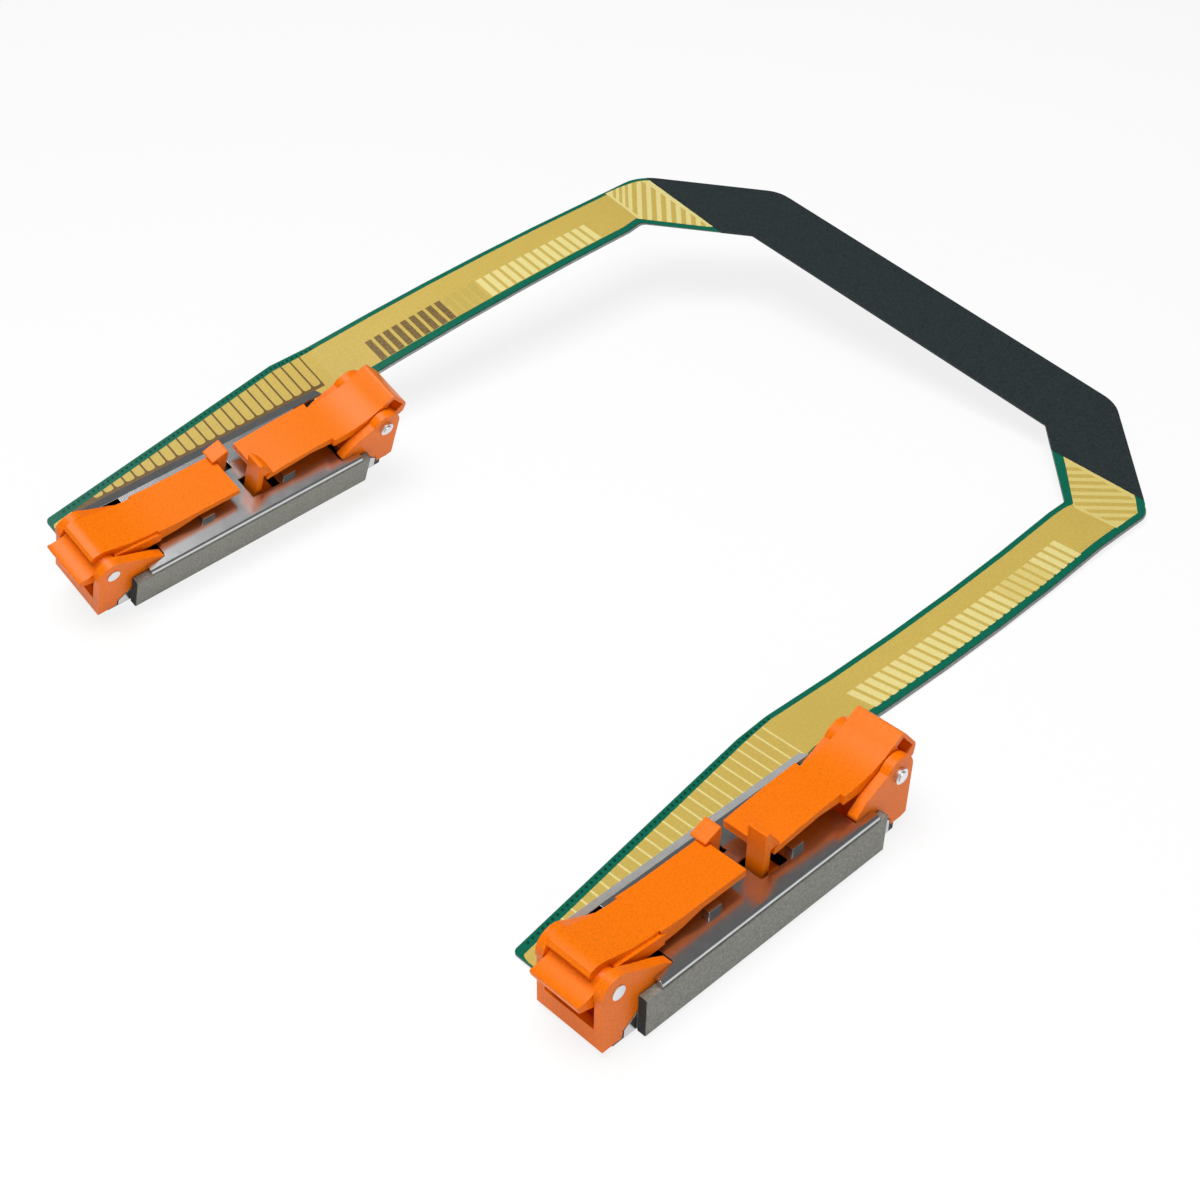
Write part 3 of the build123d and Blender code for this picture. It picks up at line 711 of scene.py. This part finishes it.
# Comb bars: share along the arm of the first one, lean and closeness, and reach across the arm.
COMB_START = {"right": 0.2, "left": 0.147}
COMB_LEAN = {"right": 0.013, "left": 0.0}
COMB_CLOSENESS = {"right": 0.977, "left": 1.011}
COMB_REACH = {"right": (2.35, 9.95), "left": (2.8, 10.4)}
BAR_HALF = 0.33


def comb(side, first, last, pitch):
    """Cross bars on an arm, from bar number first up to last, as flat outlines.

    Bar i is centred at start + i pitch, a share of the arm's length; its head leans back.
    """
    i = np.arange(first, last)[:, None]
    near, far = COMB_REACH[side]
    corner = BAR_HALF * np.array([-1, 1, 1, -1])
    t = COMB_START[side] + (i + corner) * pitch - COMB_LEAN[side] * np.array([0, 0, 1, 1])
    return arm_point(side, t, np.array([[near, near, far, far]]), COMB_HEIGHT)


def finger_feet(side, x, half):
    """Outlines of fingers on a taper: straight sides up to the green border, a rounded foot.

    Foot: x + half sign(cos(a)) |cos(a)|^power, foot + reach (1 - |sin(a)|^power), for a from pi
    to 2 pi.
    """
    a = np.linspace(np.pi, 2 * np.pi, FOOT_STEPS)
    foot_x = x[:, None] + half * np.sign(np.cos(a)) * np.abs(np.cos(a)) ** FOOT_POWER
    room = rim_line(side, x)[:, None] - FINGER_FOOT
    reach = np.minimum(FOOT_REACH, room - FINGER_STRAIGHT)
    foot_y = FINGER_FOOT + reach * (1 - np.abs(np.sin(a)) ** FOOT_POWER)
    top_x = np.stack([x + half, x - half], 1)
    px = np.concatenate([foot_x, top_x], 1)
    py = np.concatenate([foot_y, rim_line(side, top_x)], 1)
    return to_row(side, np.stack([px, py, np.full(px.shape, TOP + FINGER_HEIGHT)], -1))


def rim_line(side, x):
    """Inner line of the green border along the outer edge of a taper at x."""
    (x0, y0), (x1, y1) = TIP[side], BEND[side]
    end = ARM_EDGE[side] + ARM_WIDTH[side] - ARM_BORDER
    return np.interp(x, [x0, x1, ARM_X], [y0 - TIP_BORDER, y1 - BEND_BORDER, end])


def clipped_bars(lines, direction, offsets, half):
    """Bars along a unit direction, clipped to the convex zone left of the given lines.

    Each bar edge is offset n + r direction; r runs between the greatest lower and the least
    upper bound that the zone's lines put on it. Bars shorter than SHORTEST_BAR are left out.
    """
    n = np.array([direction[1], -direction[0]])
    p = np.array([line[0] for line in lines], float)
    d = unit(np.array([line[1] for line in lines], float) - p)
    inward = np.stack([-d[:, 1], d[:, 0]], 1)
    edges = offsets[:, None] + half * np.array([-1.0, 1.0])
    slack = ((edges[..., None, None] * n - p) * inward).sum(-1)
    rate = inward @ direction
    bound = -slack / np.where(np.abs(rate) < SAME, SAME, rate)
    low = np.where(rate > 0, bound, -np.inf).max(-1)
    high = np.where(rate < 0, bound, np.inf).min(-1)
    keep = ((high - low) > SHORTEST_BAR).all(1)
    low, high, edges = low[keep], high[keep], edges[keep]
    r = np.stack([low[:, 0], low[:, 1], high[:, 1], high[:, 0]], 1)[..., None]
    e = np.stack([edges[:, 0], edges[:, 1], edges[:, 1], edges[:, 0]], 1)[..., None]
    return e * n + r * direction


class BuildPattern(bpy.types.Operator):
    """Lays the gold fields, fingers, comb bars and hatched corners on the laminate."""

    bl_idname = "cable.build_pattern"
    bl_label = "Gold pattern"

    def execute(self, context):
        sizes = context.scene.cable_sizes
        tint(GOLD, context.scene.cable_colours.gold)
        self.fields()
        self.fingers(sizes.finger_pitch / MM)
        self.combs(sizes.comb_pitch / MM)
        self.corners(sizes.hatch_pitch / MM)
        return {"FINISHED"}

    def fields(self):
        """Gold from the tips to the film, between green borders whose width changes along the way."""
        film_r, film_l = (path_of("back", *GOLD_ENDS[side]) for side in SIDES)
        bend_r, bend_l = (path_of(side, *TAPER_END) for side in SIDES)
        turn_r, turn_l = (path_of("back", *ARM_TURN[side]) for side in SIDES)
        end = STATION[-1]
        before, after = TURN_CHANGE
        spans = {
            "right": (GOLD_TIP_GAP, film_r + GOLD_UNDER_FILM),
            "left": (film_l - GOLD_UNDER_FILM, end - GOLD_TIP_GAP),
        }
        stops = {
            "right": [0, bend_r, bend_r + TAPER_CHANGE, turn_r - before, turn_r + after],
            "left": [turn_l - after, turn_l + before, bend_l - TAPER_CHANGE, bend_l, end],
        }
        for side in SIDES:
            s = all_stations(*spans[side], FIELD_STEP)
            inside, outside = (np.interp(s, stops[side], widths) for widths in zip(*BORDERS[side]))
            rings = strip_rings(s, ("in", inside), ("out", outside), *FIELD_HEIGHTS)
            field = strip_piece(f"{side}_gold", rings, GOLD)
            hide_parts(f"{side}_gold_field", f"{side}_corner_gold")

    def fingers(self, pitch):
        """Pale parting lines on the right taper; rounded fingers on a brown ground on the left one."""
        x = LINE_END_X - pitch * np.arange(FINGERS)
        x = x[x > LINE_TIP_X]
        xs = x[:, None] + LINE_HALF * np.array([-1, 1, 1, -1])
        rim = rim_line("right", x)
        foot = np.where(x > TONGUE_END_X, ARM_FOOT, LINE_FOOT)
        ys = np.stack([foot, foot, rim, rim], 1)
        outlines = to_row("right", np.stack([xs, ys, np.full(xs.shape, TOP + GROUND_HEIGHT)], -1))
        lift = raised("right", FINGER_THICKNESS)
        lines = joined("right_parting_lines", [plates(outlines, lift)], PALE_GOLD)
        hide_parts("right_fingers")
        lift = raised("left", FINGER_THICKNESS)
        pitch = pitch * LEFT_CLOSENESS
        tip_x, end_x = LEFT_GROUND_X
        edge_x = np.array([tip_x, BEND["left"][0], end_x])
        edge = np.stack([edge_x, rim_line("left", edge_x)], 1)
        ground = flat3([*edge, (end_x, ARM_FOOT), (tip_x, ARM_FOOT)], TOP + GROUND_HEIGHT)
        brown = joined("left_brown_ground", [plates(to_row("left", ground)[None], lift)], POLYIMIDE)
        x = LEFT_END_X - pitch * (np.arange(FINGERS) + 0.5)
        x = x[rim_line("left", x) > FINGER_FOOT + FINGER_SHORTEST]
        feet = finger_feet("left", x, (pitch - FINGER_GAP) / 2)
        gold = joined("left_gold_fingers", [plates(feet, lift)], GOLD)
        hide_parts("left_fingers")

    def combs(self, pitch):
        """Cross bars: pale on the right arm; on the left arm in painted shade by the connector, then in
        lighter painted shade, then pale.
        """
        groups = (
            ("right_pale_comb", "right", 0, 18, PALE_GOLD),
            ("right_mid_comb", "right", 18, 23, SOFT_GOLD),
            ("right_end_comb", "right", 23, 27, PALE_GOLD),
            # The first bars by the left connector are painted in shade, the next ones in lighter painted
            # shade.
            ("left_shaded_comb", "left", 0, 9, SHADED_BARS),
            # Bars in lighter painted shade, between the shaded and the pale ones.
            ("left_light_shade_comb", "left", 9, 13, LIGHT_SHADE_GOLD),
            ("left_pale_comb", "left", 13, 27, PALE_GOLD),
        )
        for name, side, first, last, material in groups:
            outlines = comb(side, first, last, COMB_CLOSENESS[side] * pitch / (ARM_END - ARM_X))
            upright = np.cross(outlines[:, 1] - outlines[:, 0], outlines[:, 3] - outlines[:, 0])
            bars = joined(name, [plates(outlines, unit(upright) * BAR_THICKNESS)], material)

    def corners(self, pitch):
        """A pale frame between mitre and film at each corner, crossed by gold stripes."""
        pale = {"right": SOFT_GOLD, "left": PALE_GOLD}
        lift = raised("back", FRAME_THICKNESS)
        for side in SIDES:
            zone = np.array(CORNER_ZONES[side])
            ground = plates(to_row("back", flat3(zone, GROUND_HEIGHT))[None], lift)
            piece = joined(f"{side}_corner_frame", [ground], pale[side])
            lines = [*zip(zone, np.roll(zone, -1, 0)), *STRIPE_ENDS[side]]
            steps = pitch * STRIPE_STEPS[side]
            way = unit(np.array(STRIPE_WAYS[side]))
            offsets = (zone @ (way[1], -way[0])).min() + np.cumsum(steps) - steps / 2
            bars = clipped_bars(lines, way, offsets, steps[:, None] * STRIPE_HALF)
            heights = np.full(bars.shape[:2] + (1,), STRIPE_HEIGHT)
            outlines = to_row("back", np.concatenate([bars, heights], -1))
            stripes = joined(f"{side}_corner_stripes", [plates(outlines, lift)], GOLD)


# Floor in metres: half its side, and its height just below the part.
FLOOR_HALF = 3.0
FLOOR_Z = -0.0002
# Lamps as name, place in metres, power in watts and size in metres, and the point they aim at.
LAMPS = (
    ("key", (-0.12, 0.1, 0.85), 6.6, 0.5),
    ("fill", (-0.4, -0.6, 0.35), 1.2, 0.4),
)
LAMP_AIM = (0.06, 0.08, 0.0)
# Camera, fitted to the photograph: lens and sensor in mm, shift as a share of the sensor, place in
# metres, and the directions ahead and to the right.
LENS = 57.36
SENSOR_WIDTH = 36.0
LENS_SHIFT = (0.0315, -0.0042)
CLIP_START = 0.01
CAMERA_PLACE = (-0.2129, -0.1711, 0.2904)
CAMERA_AHEAD = (0.5497, 0.5680, -0.6125)
CAMERA_RIGHT = (0.7207, -0.6932, 0.0039)
# Grey levels of the room, as position from bottom to top and level, and the levels at both ends.
ROOM_GREYS = ((0.04, 0.6), (0.2, 0.18), (0.92, 0.14), (0.965, 0.9))
ROOM_END_GREYS = (0.6, 1.0)
# Stage paper: share of plain white that the camera sees, grey level and roughness.
PAPER_WHITE = 0.84
PAPER_GREY = 0.92
PAPER_ROUGHNESS = 0.9


class BuildStage(bpy.types.Operator):
    """Makes the pale floor, the soft lights and the camera."""

    bl_idname = "cable.build_stage"
    bl_label = "Stage"

    def execute(self, context):
        scene = context.scene
        corners = [(x * FLOOR_HALF, y * FLOOR_HALF, FLOOR_Z) for x, y in ((-1, -1), (1, -1), (1, 1), (-1, 1))]
        data = bpy.data.meshes.new("floor")
        data.from_pydata(corners, [], [(0, 1, 2, 3)])
        floor = bpy.data.objects.new("floor", data)
        scene.collection.objects.link(floor)
        floor.data.materials.append(stage_material())
        scene.world = pale_room()
        for name, place, power, size in LAMPS:
            lamp = bpy.data.lights.new(name, "AREA")
            lamp.energy = power
            lamp.size = size
            lamp_object = bpy.data.objects.new(name, lamp)
            scene.collection.objects.link(lamp_object)
            lamp_object.location = place
            aim = Vector(LAMP_AIM) - Vector(place)
            lamp_object.rotation_euler = aim.to_track_quat("-Z", "Y").to_euler()
        camera = bpy.data.cameras.new("camera")
        camera.lens = LENS
        camera.sensor_width = SENSOR_WIDTH
        camera.shift_x, camera.shift_y = LENS_SHIFT
        camera.clip_start = CLIP_START
        camera_object = bpy.data.objects.new("camera", camera)
        scene.collection.objects.link(camera_object)
        forward = Vector(CAMERA_AHEAD).normalized()
        right = Vector(CAMERA_RIGHT)
        right = (right - forward * right.dot(forward)).normalized()
        up = right.cross(forward)
        turn = Matrix((right, up, -forward)).transposed().to_4x4()
        camera_object.matrix_world = Matrix.Translation(CAMERA_PLACE) @ turn
        scene.camera = camera_object
        scene.view_settings.view_transform = "Standard"
        return {"FINISHED"}


def pale_room():
    """Even pale room for the stage: bright overhead and at the horizon, dimmer between."""
    world = bpy.data.worlds.new("pale_room")
    world.use_nodes = True
    tree = world.node_tree
    place = add(tree, "ShaderNodeTexCoord").outputs["Generated"]
    up = add(tree, "ShaderNodeSeparateXYZ", {}, {0: place}).outputs["Z"]
    ramp = add(tree, "ShaderNodeValToRGB", {}, {0: up})
    for position, grey in ROOM_GREYS:
        ramp.color_ramp.elements.new(position).color = (grey, grey, grey, 1)
    for index, grey in zip((0, -1), ROOM_END_GREYS):
        ramp.color_ramp.elements[index].color = (grey, grey, grey, 1)
    tree.links.new(ramp.outputs["Color"], tree.nodes["Background"].inputs["Color"])
    tree.nodes["Background"].inputs["Strength"].default_value = 1.0
    return world


def stage_material():
    """Pale paper: white to the camera and in reflections, with the object's soft shadow kept."""
    material, tree, shader, _ = finish_material("pale_studio_paper")
    shader.inputs["Base Color"].default_value = (PAPER_GREY, PAPER_GREY, PAPER_GREY, 1)
    shader.inputs["Roughness"].default_value = PAPER_ROUGHNESS
    white = add(tree, "ShaderNodeEmission", {"Color": (1, 1, 1, 1), "Strength": 1.0})
    path = add(tree, "ShaderNodeLightPath")
    rays = [path.outputs[f"Is {kind} Ray"] for kind in ("Camera", "Glossy", "Transmission")]
    some = add(tree, "ShaderNodeMath", {"operation": "MAXIMUM"}, {0: rays[0], 1: rays[1]}).outputs[0]
    some = add(tree, "ShaderNodeMath", {"operation": "MAXIMUM"}, {0: some, 1: rays[2]}).outputs[0]
    seen = add(tree, "ShaderNodeMath", {"operation": "MULTIPLY", 1: PAPER_WHITE}, {0: some}).outputs[0]
    mix = add(tree, "ShaderNodeMixShader", {}, {0: seen, 1: shader.outputs[0], 2: white.outputs[0]})
    out = tree.nodes["Material Output"]
    tree.links.new(mix.outputs[0], out.inputs["Surface"])
    return material


class CablePanel(bpy.types.Panel):
    """Lists the pieces of the cable and their sizes and colours."""

    bl_idname = "VIEW3D_PT_cable"
    bl_label = "Interconnect"
    bl_space_type = "VIEW_3D"
    bl_region_type = "UI"
    bl_category = "Interconnect"

    def draw(self, context):
        for group in (context.scene.cable_sizes, context.scene.cable_colours):
            for key in group.__annotations__:
                self.layout.prop(group, key)
        for operator in STEPS:
            self.layout.operator(operator.bl_idname)


STEPS = (BuildStage, BuildSheet, BuildPattern, DressMouldings, DressMetal)
CLASSES = (CableSizes, CableColours, *STEPS, CablePanel)


def register():
    """Registers the classes and their settings."""
    for cls in CLASSES:
        bpy.utils.register_class(cls)
    bpy.types.Scene.cable_sizes = bpy.props.PointerProperty(type=CableSizes)
    bpy.types.Scene.cable_colours = bpy.props.PointerProperty(type=CableColours)


def unregister():
    """Removes the settings and classes."""
    del bpy.types.Scene.cable_colours
    del bpy.types.Scene.cable_sizes
    for cls in reversed(CLASSES):
        bpy.utils.unregister_class(cls)


def main():
    """Builds everything in order."""
    register()
    bpy.ops.cable.build_stage()
    bpy.ops.cable.build_sheet()
    bpy.ops.cable.build_pattern()
    bpy.ops.cable.dress_mouldings()
    bpy.ops.cable.dress_metal()


if __name__ == "__main__":
    main()
